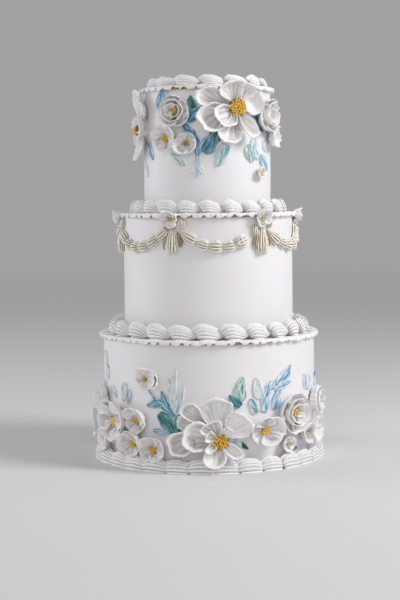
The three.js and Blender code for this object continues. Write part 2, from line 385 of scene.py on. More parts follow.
for seed, (tier_name, tier) in enumerate(tiers.items()):
    radius, top = tier["radius"], tier["top"]
    count = round(2 * math.pi * radius / LIP_PITCH)
    # (out, rise) from the tier's edge: over the lip, down its hem and back under it
    section = [
        (-LIP_IN, 0.4 * MM),
        (-3 * MM, LIP_RISE * 0.8),
        (0, LIP_RISE),
        (LIP_OUT * 0.7, LIP_RISE * 0.9),
        (LIP_OUT * 0.95, LIP_RISE * 0.45),
        (LIP_OUT, -LIP_DROP * 0.1),
        (LIP_OUT * 1.03, -LIP_DROP * 0.5),
        (LIP_OUT * 1.05, -LIP_DROP),
        (LIP_OUT * 0.86, -LIP_DROP),
        (LIP_OUT * 0.69, -LIP_DROP * 0.3),
        (LIP_OUT * 0.66, -LIP_DROP * 0.78),
        (0, -LIP_DROP * 0.86),
        (-1 * MM, -1 * MM),
        (-LIP_IN, 0.4 * MM),
    ]
    bm = turned([(radius + out, top + rise) for out, rise in section], count * LIP_STEPS)
    gilt_and_shade = bm.verts.layers.float.new("gilt_and_shade")
    for vert in bm.verts:
        azimuth = azimuth_of(vert.co)
        within, notch = hem(azimuth, count, seed)
        out, rise = math.hypot(vert.co.x, vert.co.y) - radius, vert.co.z - top
        ripple = ring_noise(azimuth, 30, seed + rise * 90)
        ripple += 0.6 * ring_noise(azimuth, 75, seed + rise * 400)
        patch = ring_noise(azimuth, 3, seed + 0.5)
        # Gold was brushed on at the front and the back, and not at the sides.
        brushed = smooth_step(-0.05, 0.45, 0.9 * math.cos(2 * azimuth + 0.1) + patch)
        # The notches and the underside of the hem get dark gold-brown, which is brushed gold and painted
        # shade under the hem together.
        if out > LIP_OUT * 0.7:
            low = max(0, -rise / LIP_DROP)
            slant = 0.35 * (0.5 - within)
            rise += LIP_DROP * low * (NOTCH_LIFT * notch + slant) + ripple * 0.95 * MM
            out += ripple * 0.6 * MM + 1.5 * MM * (within - 0.6) * (0.5 + 0.5 * low)
            vert[gilt_and_shade] = 0.6 * notch * brushed if low > 0.9 else 0
        elif out > -0.5 * MM and rise < 0:
            vert[gilt_and_shade] = 0.25 + 0.75 * brushed
        vert.co = around(azimuth, radius + out, top + rise)
    new_piece(f"{tier_name}_lip", bm, [piping], [f"lip_{tier_name}"])


# --------------------------------------------------------- the shell borders
# Rows of shells piped with a fine open star tube: each swells to a ridged head,
# thins to a tail and is overlapped by the next. They close the foot of each tier
# and crown the top one.

# node: (shells, azimuth of the first in degrees, distance of the row's middle from the
# axis, height as a share of the node's, length as a share of the pitch)
WHITE_BORDERS = {
    "border_base": (30, 7.7, 131.5 * MM, 1.12, 1.13),
    "border_lower": (24, -0.2, 112.5 * MM, 1.0, 1.34),
    "border_middle": (22, 2.4, 87 * MM, 1.0, 1.34),
    "border_top": (14, 5.5, 65.5 * MM, 1.04, 1.26),
}
# A shell's flat underside: how many columns of the mesh it has, how many degrees the
# ridges reach in under each side, and its depth as a share of the size
UNDER_COLUMNS = 6
TUCK = 6
FLAT_UNDER = -0.02


def ridged_shell(
    teeth, rows, groove, peak, blunt, widen, fan=0.6, fringe=0.0, torn=0.0, steps=6
):
    """A ridged stroke: its mesh, and for each vertex (along, across, up, depth), where
    along runs from 0 to 1, across and up are shares of the size, and depth is 1 in a
    groove. A peak below 1 sets its widest place near the start, a small blunt makes its
    ends full, and widen swells it towards the end. fan arches the ridges, fringe draws
    them out at the end and torn at the start. Each ridge is steps columns wide."""
    over = teeth * steps
    columns = over + UNDER_COLUMNS
    bm = bmesh.new()
    bmesh.ops.create_uvsphere(bm, u_segments=columns, v_segments=rows, radius=1)
    shape = []
    for vert in bm.verts:
        along = math.acos(max(-1, min(1, vert.co.z))) / math.pi
        column = round(math.atan2(vert.co.y, vert.co.x) / (2 * math.pi) * columns) % columns
        if column <= over:
            angle = math.radians(-TUCK + (180 + 2 * TUCK) * column / over)
            tooth = abs(math.sin(math.pi * column / steps))
        else:
            angle = math.radians(180 + TUCK + (180 - 2 * TUCK) * (column - over) / UNDER_COLUMNS)
            tooth = 0.5
        swell = math.sin(math.pi * along**peak) ** blunt * (1 + widen * (along - 0.5))
        side = 1 - max(0, math.sin(angle))
        ridge = 1 - groove * (1 - tooth) * (0.6 + 0.4 * side)
        ragged = noise.noise(Vector((column // steps * 1.7, teeth * 0.37, 0.5)))
        spread = along + fan * (0.45 - along) * side
        spread += fringe * (tooth - 0.5) * max(0, along - 0.55)
        spread -= torn * (tooth - 0.5 + 1.4 * ragged) * max(0, 0.35 - along)
        across = swell * ridge * math.cos(angle)
        up = swell * ridge * math.sin(angle)
        depth = (1 - tooth) ** 1.6 * min(1, swell * 2)
        shape.append((spread, across, max(up, FLAT_UNDER), depth))
    mesh = bpy.data.meshes.new("shell")
    bm.to_mesh(mesh)
    bm.free()
    return mesh, shape


def pipe_shell(bm, shell, layer, depth_to, move):
    """Adds a copy of a shell. move(along, across, up) gives each point's place, and
    depth_to turns a groove's depth into the value kept in the layer."""
    mesh, shape = shell
    bm.from_mesh(mesh)
    bm.verts.ensure_lookup_table()
    for vert, (along, across, up, depth) in zip(bm.verts[-len(shape):], shape):
        vert.co = move(along, across, up)
        vert[layer] = depth_to(depth)


arched_shell = ridged_shell(
    teeth=13, rows=26, groove=0.26, peak=0.64, blunt=0.48, widen=-0.2, torn=0.2, steps=5
)
shell_shapes = {
    "border_base": ridged_shell(
        teeth=11, rows=24, groove=0.27, peak=0.85, blunt=0.24, widen=0.0, fan=0.04, torn=0.35
    ),
    "border_lower": arched_shell,
    "border_middle": arched_shell,
    "border_top": ridged_shell(
        teeth=13, rows=24, groove=0.36, peak=0.68, blunt=0.45, widen=-0.15, fan=0.65, torn=0.3, steps=5
    ),
}
for seed, (border_name, row) in enumerate(WHITE_BORDERS.items(), start=1):
    shells, first_azimuth, middle, tall, overlap = row
    low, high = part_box(border_name)
    height = (high.z - low.z) * tall * 0.985
    width = (min(high.x, high.y) - middle) * 0.985
    pitch = 2 * math.pi / shells
    dice = random.Random(seed)
    bm = bmesh.new()
    # Each vertex keeps its groove depth, which the piping finish darkens as painted shade.
    groove = bm.verts.layers.float.new("groove")
    for shell in range(shells):
        size = dice.uniform(0.9, 1.0)
        length = pitch * overlap * dice.uniform(0.95, 1.06)
        begin = math.radians(first_azimuth) + shell * pitch - 0.47 * length
        lean = dice.uniform(-0.1, 0.1)
        shift = dice.uniform(-0.6, 0.6) * MM

        def move(along, across, up):
            lump = 1 + 0.07 * noise.noise(Vector((along * 4, up * 3, shell * 5.1 + seed)))
            lump += 0.06 * noise.noise(Vector((along * 14, up * 8 + across * 8, shell * 2.3 + seed)))
            reach = middle + shift + width * size * (across * lump + lean * up)
            return around(begin + length * along, reach, low.z + max(0, height * size * up * lump))

        pipe_shell(bm, shell_shapes[border_name], groove, lambda depth: depth, move)
    new_piece(f"{border_name}_shells", bm, [piping], [border_name])


# ---------------------------------------------------------------- the garland
# Ivory swags on the middle tier, piped as short ridged strokes that flare at the end,
# each begun over the last. A ridged tassel between two small puffs hangs under
# every joint, and gold colour is brushed into the grooves, painted darker with their
# depth as the shade that falls in them.

JOINTS = 6
FIRST_JOINT = -23
JOINT_SPAN = 2 * math.pi / JOINTS
ROPE_TOP = 281 * MM
ROPE_DROP = 28 * MM
GAP = 0.3 * MM
# The part of a swag that each stroke covers, from one joint at 0 to the next at 1
STROKES = [(0.07, 0.25), (0.21, 0.38), (0.34, 0.52), (0.48, 0.67), (0.62, 0.80), (0.76, 0.93)]
STROKE_WIDTH = 6.9 * MM
STROKE_RISE = 6.6 * MM
# swag: the place of a ruffle on it
RUFFLED = {0: 0.72, 1: 0.74, 3: 0.5, 4: 0.76}
RUFFLE_PETALS = 5
# In mm from the joint: (from u, from height, to u, to height, half width, relief, gilding)
TASSEL = (0, 277, 0, 245, 8.0, 6.4, 0)
PUFFS = [
    (-6, 272, -10, 249, 4.6, 4.6, 0.4),
    (6, 271, 10, 252, 4.4, 4.4, 0.5),
    (11, 287, 11.5, 273, 5.0, 5.2, 0.0),
    (-9.5, 279, -11, 264, 4.8, 5.0, 0.1),
]


def champagne_paint(place):
    """Ivory piping. The gold attribute is 1 at the bottom of a groove, where the dark gold-brown is
    brushed gold and painted shade together.
    """
    gilt_and_shade = attribute(place, "gilt_and_shade")
    patch = noise_at(place, 230.0, 2.0)
    fine = noise_at(place, 900.0, 2.0)
    ivory = noise_at(place, 70.0).mix((0.89, 0.845, 0.755, 1), (0.94, 0.91, 0.855, 1))
    gold = patch.ramp(0.3, 0.7).mix((0.13, 0.07, 0.018, 1), (0.37, 0.245, 0.085, 1))
    color = (gilt_and_shade * (patch * 0.9 + 0.55)).ramp(0.1, 0.7).mix(ivory, gold)
    return color, fine * 0.2 + 0.38, fine * (0.05 * MM)


champagne = finish("champagne_piping", champagne_paint)


def on_side(tier, azimuth, u, height, w):
    """A point on a tier's side: u along it from an azimuth, w out from the surface."""
    return around(azimuth + u / tier["radius"], tier["radius"] + w, height)


def joint_azimuth(place):
    """The azimuth in radians of a place that is counted in joints."""
    return math.radians(FIRST_JOINT) + place * JOINT_SPAN


def rope_height(share):
    """The height of a swag's middle line between one joint at 0 and the next at 1."""
    return ROPE_TOP - ROPE_DROP * (1 - abs(2 * share - 1) ** 2.2)


def pipe_puff(bm, shape, layer, azimuth, puff, seed):
    """A ridged stroke on the middle tier from one (u, height) to another."""
    u1, v1, u2, v2, half, relief, gilding = puff
    length = math.hypot(u2 - u1, v2 - v1)
    du, dv = (u2 - u1) / length, (v2 - v1) / length

    def move(along, across, up):
        wave = noise.noise(Vector((along * 5, across * 3, seed)))
        wave += 0.9 * noise.noise(Vector((along * 15, across * 6 + up * 5, seed)))
        side = half * across * (1 + 0.12 * wave) + 0.8 * wave * along
        rise = relief * max(0, up) * (1 + 0.1 * wave)
        u = u1 + du * length * along - dv * side
        v = v1 + dv * length * along + du * side
        return on_side(MIDDLE, azimuth, u * MM, v * MM, GAP + rise * MM)

    pipe_shell(bm, shape, layer, lambda depth: gilding + (1 - gilding) * depth, move)


rope_stroke = ridged_shell(
    teeth=6, rows=16, groove=0.42, peak=1.25, blunt=0.42, widen=1.0, fan=0.05, fringe=0.5
)
tassel_stroke = ridged_shell(
    teeth=8, rows=20, groove=0.4, peak=1.2, blunt=0.3, widen=0.7, fan=0.0, fringe=0.4
)
puff_stroke = ridged_shell(
    teeth=6, rows=14, groove=0.4, peak=1.1, blunt=0.5, widen=0.1, fan=0.35, fringe=0.2
)
ruffle_stroke = ridged_shell(
    teeth=5, rows=10, groove=0.3, peak=1.0, blunt=0.6, widen=0.0, fan=0.2
)
reach = JOINT_SPAN * MIDDLE["radius"]
for joint in range(JOINTS):
    start = joint_azimuth(joint)
    dice = random.Random(40 + joint)
    bm = bmesh.new()
    # Each vertex keeps its groove depth, which the ivory finish turns into gold and painted shade.
    gilt_and_shade = bm.verts.layers.float.new("gilt_and_shade")
    for stroke, (first, last) in enumerate(STROKES[:5] if joint == 0 else STROKES):
        size = dice.uniform(0.86, 1.04)
        kick = dice.uniform(-1.2, 0.6) * MM

        def move(along, across, up):
            share = first + (last - first) * along
            slope = (rope_height(share + 0.01) - rope_height(share - 0.01)) / (0.02 * reach)
            tilt = math.atan(slope)
            lump = 1 + 0.1 * noise.noise(Vector((along * 4, across * 2, stroke * 3.3 + joint)))
            lump += 0.16 * noise.noise(Vector((along * 14, across * 6 + up * 5, stroke * 2.1 + joint)))
            side = -STROKE_WIDTH * size * across * lump
            u = share * reach - side * math.sin(tilt)
            v = rope_height(share) + kick * along + side * math.cos(tilt)
            return on_side(MIDDLE, start, u, v, GAP + STROKE_RISE * size * max(0, up) * lump)

        pipe_shell(bm, rope_stroke, gilt_and_shade, lambda depth: depth, move)
    label = f"{joint + 1:02d}"
    new_piece(f"garland_swag_{label}", bm, [champagne], [f"swag_{label}"])

for joint in range(JOINTS):
    bm = bmesh.new()
    # Each vertex keeps its groove depth, which the ivory finish turns into gold and painted shade.
    gilt_and_shade = bm.verts.layers.float.new("gilt_and_shade")
    for index, puff in enumerate(PUFFS):
        pipe_puff(bm, puff_stroke, gilt_and_shade, joint_azimuth(joint), puff, joint * 10 + index + 0.5)
    pipe_puff(bm, tassel_stroke, gilt_and_shade, joint_azimuth(joint), TASSEL, joint * 10 + 7.5)
    label = f"{joint + 1:02d}"
    new_piece(f"garland_tassel_{label}", bm, [champagne], [f"tassel_{label}"])

bm = bmesh.new()
# Each vertex keeps its groove depth, which the piping finish darkens as painted shade.
groove = bm.verts.layers.float.new("groove")
for joint, share in RUFFLED.items():
    middle = rope_height(share) / MM + 1.5
    for index in range(RUFFLE_PETALS):
        turn = math.radians(index * 360 / RUFFLE_PETALS + 20 * joint)
        du, dv = math.cos(turn), math.sin(turn)
        frill = (0.5 * du, middle + 0.5 * dv, 6.0 * du, middle + 6.0 * dv, 3.3, 8.0, 0)
        pipe_puff(bm, ruffle_stroke, groove, joint_azimuth(joint + share), frill, joint + index * 0.3)
new_piece("garland_ruffles", bm, [piping])


# ---------------------------------------------------------------- the flowers
# White flowers spread with a palette knife: each petal is a thick smear pulled in
# towards the centre, so it is hollow, with a rolled rim and knife marks at its
# base. Beads of golden buttercream make the stamens.

# In mm: how far the back of a rim rolls out past its front, and the height off the side
# above which its relief is pressed down to the share PETAL_PRESS
RIM_ROLL = 2.8
PETAL_TOP = 14.5
PETAL_PRESS = 0.35
# The direction in radians that the light comes from, and that the petals with the least painted shade
# point in
LIGHT_SIDE = 0.52
GOLDEN_ANGLE = 2.39996


def petal_paint(place):
    """White petals. The attribute hollow is 1 deep in a petal, where the white is darkened to beige as
    painted shade.
    """
    smear = noise_at(place, 120.0, 3.0, 0.6)
    fine = noise_at(place, 800.0, 2.0)
    cloud = noise_at(place, 30.0, 2.0)
    hollow = attribute(place, "hollow")
    white = cloud.ramp(0.3, 0.7).mix((0.94, 0.925, 0.922, 1), (0.965, 0.952, 0.947, 1))
    crumb = noise_at(place, 330.0, 3.0)
    color = (hollow * (smear * 0.5 + 0.75)).ramp(0.0, 1.0).mix(white, (0.50, 0.44, 0.405, 1))
    return color, smear * 0.25 + 0.35, smear * (0.5 * MM) + crumb * (0.3 * MM) + fine * (0.06 * MM)


def bed_paint(place):
    """The dark brown bed under the stamens, which shows between the beads."""
    patch = noise_at(place, 500.0, 2.0)
    color = patch.ramp(0.35, 0.65).mix((0.09, 0.035, 0.006, 1), (0.30, 0.13, 0.02, 1))
    return color, patch * 0.2 + 0.45, None


def stamen_paint(place):
    """Golden stamens, from amber to yellow."""
    patch = noise_at(place, 420.0, 2.0)
    color = patch.ramp(0.3, 0.7).mix((0.66, 0.30, 0.015, 1), (0.98, 0.74, 0.12, 1))
    return color, patch * 0.2 + 0.35, patch * (0.1 * MM)


petal_white = finish("petal_white", petal_paint)
stamen_bed = finish("stamen_bed", bed_paint)
stamen_gold = finish("stamen_gold", stamen_paint)
FLOWER_FINISHES = [petal_white, stamen_bed, stamen_gold]
BED_SLOT, GOLD_SLOT = 1, 2


def faces_of(verts):
    """The faces round some vertices, each one once."""
    return list(dict.fromkeys(face for vert in verts for face in vert.link_faces))


def slab(bm, columns, rows):
    """Adds a thin block, a grid from -1 to 1, and returns its back and front vertices."""
    back = bmesh.ops.create_grid(bm, x_segments=columns, y_segments=rows, size=1)["verts"]
    lifted = bmesh.ops.extrude_face_region(bm, geom=faces_of(back))["geom"]
    return back, [part for part in lifted if isinstance(part, bmesh.types.BMVert)]


def crowd(value):
    """Moves a place on a grid from -1 to 1 outwards, so its rows crowd at the rim."""
    return math.copysign(1 - (1 - min(1, abs(value))) ** 1.35, value)


def on_disc(x, y):
    """A place on the square grid moved onto the disc of a petal."""
    x, y = crowd(x), crowd(y)
    return x * math.sqrt(1 - y * y / 2), y * math.sqrt(1 - x * x / 2)


def petal_outline(bend, rim, size, seed):
    """How far a petal reaches out at the angle bend round its middle, and how far its
    rim is torn there."""
    ruffle = ring_noise(bend, 1.6, seed * 1.7)
    torn = ring_noise(bend, size * 0.2, seed * 2.9)
    return 1 + (0.09 * math.sin(2 * bend) ** 2 + 0.15 * ruffle + 1.9 * torn / size) * rim, torn


def knife_mark(x, y, rim, share, size, seed):
    """The ridges that the knife leaves, fanned out from the base and fading to the rim."""
    mark = math.atan2(x, y + 1.5) * (9 + size * 0.6) + seed
    mark += 2.4 * noise.noise(Vector((x * 2, y * 2, seed)))
    return math.sin(mark) * (1 - rim**4) * (1.2 - 0.8 * share)


def petal(
    bm, spot, direction, start, length, width, rise, cup, layer, curl,
    fold=0.0, wrap=0.0, seed=0, cells=20, base=0.55,
):
    """Adds a petal. Sizes are in millimetres and the direction in degrees, anticlockwise
    from the right. start is how far from the centre it begins and base how wide it is
    there. rise lifts its tip, cup its rim, curl rolls the tip back over the hollow, fold
    brings its two sides together, and wrap bends it round the centre."""
    tier, azimuth, height = spot
    hollow = bm.verts.layers.float["hollow"]
    facing = math.radians(direction)
    size = (length + width) / 2
    thick = 0.9 + 0.045 * size
    band = 1 - 2 / size
    wall = 0.3 + 0.4 * smooth_step(15, 27, start)
    # Painted shade: the larger a petal is, the more its hollow is darkened to beige when it points away
    # from the light.
    shade = (0.18 - 0.3 * math.cos(facing - LIGHT_SIDE)) * (0.2 + 0.8 * smooth_step(9, 20, size))
    back, front = slab(bm, cells, cells)
    for is_front, verts in ((False, back), (True, front)):
        for vert in verts:
            # The outline: share runs from 0 at the base to 1 at the tip.
            x, y = on_disc(vert.co.x, vert.co.y)
            rim = min(1.0, math.hypot(x, y))
            outline, torn = petal_outline(math.atan2(y, x), rim, size, seed)
            if not is_front:
                outline += RIM_ROLL / size * smooth_step(0.5, 1, rim)
            share = max(0, (y * outline + 1) / 2)
            tip = smooth_step(0.6, 1, share)
            along = start + length * share - curl * length * 0.3 * tip
            across = x * outline * (base + (1 - base) * smooth_step(0, 0.5, share)) * width / 2
            across *= 1 - 0.45 * fold

            # The relief: a bowl with a raised, crumbling rim, knife marks and lumps.
            ridge = knife_mark(x, y, rim, share, size, seed)
            lump = noise.noise(Vector((x * 1.5, y * 1.5, seed * 2.3)))
            crumble = noise.noise(Vector((x * size * 0.45, y * size * 0.45, seed * 4.3)))
            bowl = 0.35 * rim**2 + 0.65 * rim**5
            off = layer + rise * share**1.3 + cup * bowl * (wall + (1 - wall) * share)
            off += (0.22 + 0.012 * size) * ridge + 1.1 * lump + 0.35 * crumble * (1 - share)
            edge = smooth_step(band - 0.14, band - 0.03, rim) - 0.7 * smooth_step(0.95, 1, rim)
            off += edge * (0.45 + 0.026 * size + 1.3 * crumble)
            off += 1.2 * torn * smooth_step(0.7, 1, rim)
            off += abs(curl) * 2 * tip + fold * abs(x) ** 1.5 * width * 0.4
            half_thick = thick * (0.55 + 0.65 * smooth_step(0.78, 0.96, rim)) / 2
            off += half_thick if is_front else -half_thick
            if off > PETAL_TOP:
                off = PETAL_TOP + PETAL_PRESS * (off - PETAL_TOP)

            # Painted shade darkens the hollow to beige at the base and between the ridges, and the rim
            # stays white.
            deep = shade + 0.75 * (1 - share) ** 3 - 0.3 * ridge + 0.45 * lump
            white_rim = smooth_step(band - 0.15, band, rim + 0.14 * crumble + 0.08 * lump)
            inside = 1 - white_rim * smooth_step(0.05, 0.35, share)
            vert[hollow] = max(0, min(1, deep * inside)) if is_front else 0.1

            heading = facing + wrap * across / (start + length * 0.62)
            across *= 1 - wrap
            u = along * math.cos(heading) - across * math.sin(heading)
            v = along * math.sin(heading) + across * math.cos(heading)
            vert.co = on_side(tier, azimuth, u * MM, height + v * MM, max(-0.5, off) * MM)


def stamens(bm, spot, radius, height, count, bead, base, off_centre=(0, 0)):
    """Adds a dome of stamens: a brown bed under beads set in a spiral. Sizes are in
    millimetres, base is the height of the dome's foot and bead the radius of a bead."""
    tier, azimuth, level = spot
    shift_u, shift_v = off_centre

    def dome(u, v, w):
        return on_side(tier, azimuth, (u + shift_u) * MM, level + (v + shift_v) * MM, w * MM)

    bed = bmesh.ops.create_uvsphere(bm, u_segments=20, v_segments=12, radius=1)["verts"]
    for face in faces_of(bed):
        face.material_index = BED_SLOT
    for vert in bed:
        x, y, z = vert.co
        vert.co = dome(x * radius * 1.12, y * radius * 1.12, base + height * max(z * 0.8, -0.6))
    for step in range(count):
        share = math.sqrt((step + 0.5) / count)
        angle = step * GOLDEN_ANGLE
        jitter = Vector([noise.noise(Vector((step * 1.7, radius + far, height))) for far in (0, 20, 40)])
        x, y = radius * share * math.cos(angle), radius * share * math.sin(angle)
        z = base + height * math.sqrt(max(0, 1 - 0.82 * share * share)) + 0.9 * jitter.z
        thickness = bead * (1 + 0.25 * jitter.x)
        ball = bmesh.ops.create_icosphere(bm, subdivisions=2, radius=thickness)["verts"]
        for face in faces_of(ball):
            face.material_index = GOLD_SLOT
        for vert in ball:
            a, b, c = vert.co
            vert.co = dome(x + a + 0.4 * jitter.x, y + b + 0.4 * jitter.y, z + c * 1.25)


def new_flower():
    """An empty mesh with the layer that petals write to."""
    bm = bmesh.new()
    bm.verts.layers.float.new("hollow")
    return bm


def bloom(bm, spot, reach, petals, turn, open_to, seed, wide):
    """An open flower: overlapping cupped petals round a few stamens. Where open_to is
    given, the petals on that side lie flat and the others stand up."""
    dice = random.Random(seed)
    small = reach < 15
    for index in range(petals):
        direction = turn + index * 360 / petals + dice.uniform(-10, 10)
        stand = 1.0
        if open_to is not None:
            stand = 1 - 0.5 * math.cos(math.radians(direction - open_to))
        length = reach * 0.8 * dice.uniform(0.88, 1.06)
        width = reach * wide * dice.uniform(0.92, 1.12)
        petal(
            bm, spot, direction, reach * 0.2, length, width,
            rise=reach * 0.14 * stand, cup=reach * 0.62 * stand, layer=1.4 + (0, 1.6, 0.8)[index % 3],
            curl=dice.choice((0, 0, 0.25)) * stand, wrap=0.3, seed=seed * 7 + index,
            cells=18 if small else 24,
        )
    radius = max(1.8, min(4.4, reach * 0.27))
    stamens(
        bm, spot, radius, reach * 0.12, 12 if small else 26, max(0.7, reach * 0.052),
        base=1.4 + reach * 0.22, off_centre=(0, -reach * 0.05),
    )


# A ring of a rose: (petals, then start, length, width, rise and cup as shares of its reach)
ROSE_RINGS = [
    (5, 0.48, 0.52, 1.25, 0.1, 0.36),
    (4, 0.26, 0.46, 1.05, 0.22, 0.4),
    (3, 0.1, 0.38, 0.85, 0.22, 0.34),
]


def rose(bm, spot, reach, turn, seed):
    """A cupped rose: rings of petals wrapped round the centre, the inner ones taller."""
    dice = random.Random(seed)
    for count, near, share, wide, rise, cup in ROSE_RINGS:
        for index in range(count):
            direction = turn + index * 360 / count + near * 300 + dice.uniform(-12, 12)
            length = reach * share * dice.uniform(0.92, 1.05)
            petal(
                bm, spot, direction, reach * near, length, reach * wide,
                rise=reach * rise, cup=reach * cup, layer=0.8 + 1.1 * (index % 2),
                curl=dice.choice((0, 0.5)), wrap=0.8, seed=seed * 11 + index + count, base=0.8,
            )
    bead = max(0.62, reach * 0.048)
    stamens(bm, spot, reach * 0.17, reach * 0.1, 12, bead, base=reach * 0.3)


def spot_of(tier, degrees, height):
    """A flower's centre from its azimuth in degrees and its height in millimetres."""
    return tier, math.radians(degrees), height * MM


# Large flowers by petal: (direction, start, length, width, rise, cup, layer, curl, fold)
TOP_LARGE = [
    (161, 8, 41, 24, 4, 7, 1, 0.4, 0),
    (109, 6, 29, 28, 6, 9, 1, 0.6, 0.1),
    (60, 8, 25, 19, 6, 8, 2, 0.6, 0.3),
    (17, 7, 24, 27, 4, 8, 1, 0.2, 0),
    (203, 9, 34, 31, 5, 12, 2.5, 0, 0),
    (252, 9, 32, 26, 4, 10, 1.5, 0, 0.1),
    (298, 5, 33, 19, 4, 8, 2.5, 0, 0.5),
    (215, 3, 24, 26, 6, 10, 5, 0, 0),
]
LEFT_SIDE = [
    (112, 14, 26, 20, 3, 7, 1, 0.3, 0),
    (85, 8, 34, 19, 4, 7, 2, 0, 0.1),
    (60, 10, 22, 17, 4, 7, 2, 0, 0.1),
    (250, 10, 28, 21, 3, 7, 1, 0, 0),
    (280, 8, 26, 17, 3, 7, 2, 0, 0.1),
    (20, 1, 15, 17, 3, 9, 3, 0, 0),
    (165, 2, 15, 16, 2, 7, 2.5, 0, 0),
    (325, 2, 15, 14, 3, 8, 3, 0, 0),
]
BUD = [
    (75, -2, 13, 14, 4, 4, 1.5, 0.3, 0),
    (20, -3, 17, 14, 4, 4, 1, 0.3, 0),
    (-40, -3, 17, 14, 4, 4, 1.5, 0.3, 0),
    (140, 0, 13, 12, 5, 6, 2.5, 0, 0),
    (-105, 0, 12, 12, 4, 6, 2.5, 0, 0),
    (-10, -4, 13, 18, 3, 3, 5, 0, 0),
    (188, 2, 12, 10, 2, 5, 1, 0, 0.1),
]
BOTTOM_LARGE = [
    (97, 10, 44, 35, 5, 8, 1, 0.6, 0),
    (38, 8, 33, 32, 4, 9, 1.5, 0.4, 0),
    (132, 26, 32, 22, 4, 10, 1, 0.5, 0.4),
    (152, 22, 27, 16, 3, 7, 1, 0, 0),
    (186, 25, 27, 26, 4, 14, 2, 0, 0),
    (170, 4, 32, 33, 6, 13, 3.5, 0, 0),
    (120, 3, 27, 24, 7, 10, 5, 0.9, 0.2),
    (52, 2, 20, 13, 9, 7, 6, 0.9, 0.3),
    (156, 3, 16, 13, 8, 7, 7, 1.0, 0.2),
    (225, 3, 17, 9, 6, 7, 6, 0.3, 0.2),
    (257, 4, 27, 23, 6, 9, 4, 0, 0.15),
    (318, 5, 27, 17, 5, 7, 3, 0.4, 0.5),
]


def large_flower(bm, spot, petals, radius, scale, mirror, off_centre, seed):
    """A flower from a list of petals round a dome of stamens of the given radius."""
    for index, row in enumerate(petals):
        direction, start, length, width, rise, cup, layer, curl, fold = row
        petal(
            bm, spot, mirror * direction, start * scale, length * scale, width * scale,
            rise=rise * scale, cup=cup * scale, layer=layer, curl=curl, fold=fold,
            seed=seed + index * 3.1, cells=32 if length > 22 else 22,
        )
    count = max(9, round(0.5 * radius * radius))
    bead = (0.75 + 0.06 * radius) * scale
    stamens(bm, spot, radius * scale, 4.0 * scale, count, bead, base=7.0 * scale, off_centre=off_centre)


BACK_SCALE = 0.85
# (kind, azimuth in degrees, height in mm), and then for a large flower its petals, the
# radius of its stamens and where they sit off the centre, for a rose its reach and turn,
# and for a bloom its reach, its turn and the side on which it is open
TOP_FLOWERS = [
    ("large", 25, 411, TOP_LARGE, 9.2),
    ("rose", -27, 408, 18, 20),
    ("bloom", -36, 378, 15.5, 30, 200),
    ("bloom", -17.5, 371, 12, 60, 90),
    ("large", -73, 392, LEFT_SIDE, 5.4, (-15, -3)),
    ("rose", 62, 404, 20, 80),
    ("bloom", 73, 379, 13, 10, None),
    ("bloom", 51, 337, 6.5, 40, None),
    ("rose", 121, 399, 21, 0),
    ("large", 172, 406, TOP_LARGE, 8.0),
    ("bloom", 214, 396, 18, 30, None),
    ("bloom", 247, 381, 14, 10, 200),
]
BOTTOM_FLOWERS = [
    ("large", 4.5, 39, BOTTOM_LARGE, 9.2, (0, -2)),
    ("bloom", 28.5, 46, 17.5, 15, 160),
    ("rose", 47, 62, 23, 10),
    ("bloom", 58, 36, 12, 20, None),
    ("bloom", 42.5, 27, 9, 10, None),
    ("large", -31, 106, BUD, 2.4, (-4.5, -1)),
    ("bloom", -55, 53, 25, 100, 250),
    ("bloom", -39, 57, 15, 40, 220),
    ("bloom", -42, 29, 15, 70, 300),
    ("bloom", -29, 26, 16, 20, 250),
    ("bloom", -67, 27, 13, 0, None),
    ("rose", -73, 74, 17, 45),
    ("bloom", -81, 42, 17, 15, 200),
    ("rose", 73, 69, 18, 30),
    ("bloom", 67, 37, 15, 50, None),
    ("rose", 108, 49, 23, 0),
    ("large", 146, 45, TOP_LARGE, 8.0),
    ("bloom", 177, 60, 18, 25, None),
    ("rose", 206, 47, 24, 50),
    ("bloom", 243, 50, 23, 5, 200),
]
for prefix, tier, flowers in (("top", TOP, TOP_FLOWERS), ("bottom", BOTTOM, BOTTOM_FLOWERS)):
    for index, (kind, degrees, height, *shape) in enumerate(flowers):
        spot = spot_of(tier, degrees, height)
        bm = new_flower()
        if kind == "large":
            petals, radius, *offset = shape
            off_centre = offset[0] if offset else (0, 0)
            scale, mirror = (BACK_SCALE, -1) if abs(degrees) > 90 else (1, 1)
            large_flower(bm, spot, petals, radius, scale, mirror, off_centre, seed=index)
        elif kind == "rose":
            reach, turn = shape
            rose(bm, spot, reach, turn, seed=index + 3)
        else:
            reach, turn, open_to = shape
            bloom(bm, spot, reach, 5 if reach > 18 else 4, turn, open_to, seed=index + 5, wide=1.3)
        label = f"{index + 1:02d}"
        node = f"flower_{prefix}_{label}"
        new_piece(f"{prefix}_flower_{label}", bm, FLOWER_FINISHES, [node])

for joint in range(JOINTS):
    spot = spot_of(MIDDLE, math.degrees(joint_azimuth(joint)) - 1, 285)
    bm = new_flower()
    bloom(bm, spot, 9.6, 5, 50 * joint, open_to=270, seed=70 + joint, wide=0.84)
    node = f"garland_flower_{joint + 1:02d}"
    new_piece(f"garland_bloom_{joint + 1:02d}", bm, FLOWER_FINISHES, [node])


# ----------------------------------------------------------------- the leaves
# Leaves and stems, each one flat stroke of the palette knife in blue, teal and
# green buttercream only half mixed with white, so streaks run along the stroke.

UV_SPAN = 30
LEAF_BLUES = [
    (0.0, (0.008, 0.075, 0.13)),
    (0.25, (0.03, 0.14, 0.27)),
    (0.45, (0.06, 0.28, 0.47)),
    (0.62, (0.24, 0.43, 0.63)),
    (0.8, (0.55, 0.68, 0.80)),
    (1.0, (0.86, 0.87, 0.89)),
]
LEAF_GREENS = [
    (0.0, (0.008, 0.05, 0.04)),
    (0.3, (0.02, 0.15, 0.12)),
    (0.5, (0.08, 0.31, 0.27)),
    (0.75, (0.40, 0.58, 0.54)),
    (1.0, (0.84, 0.86, 0.84)),
]


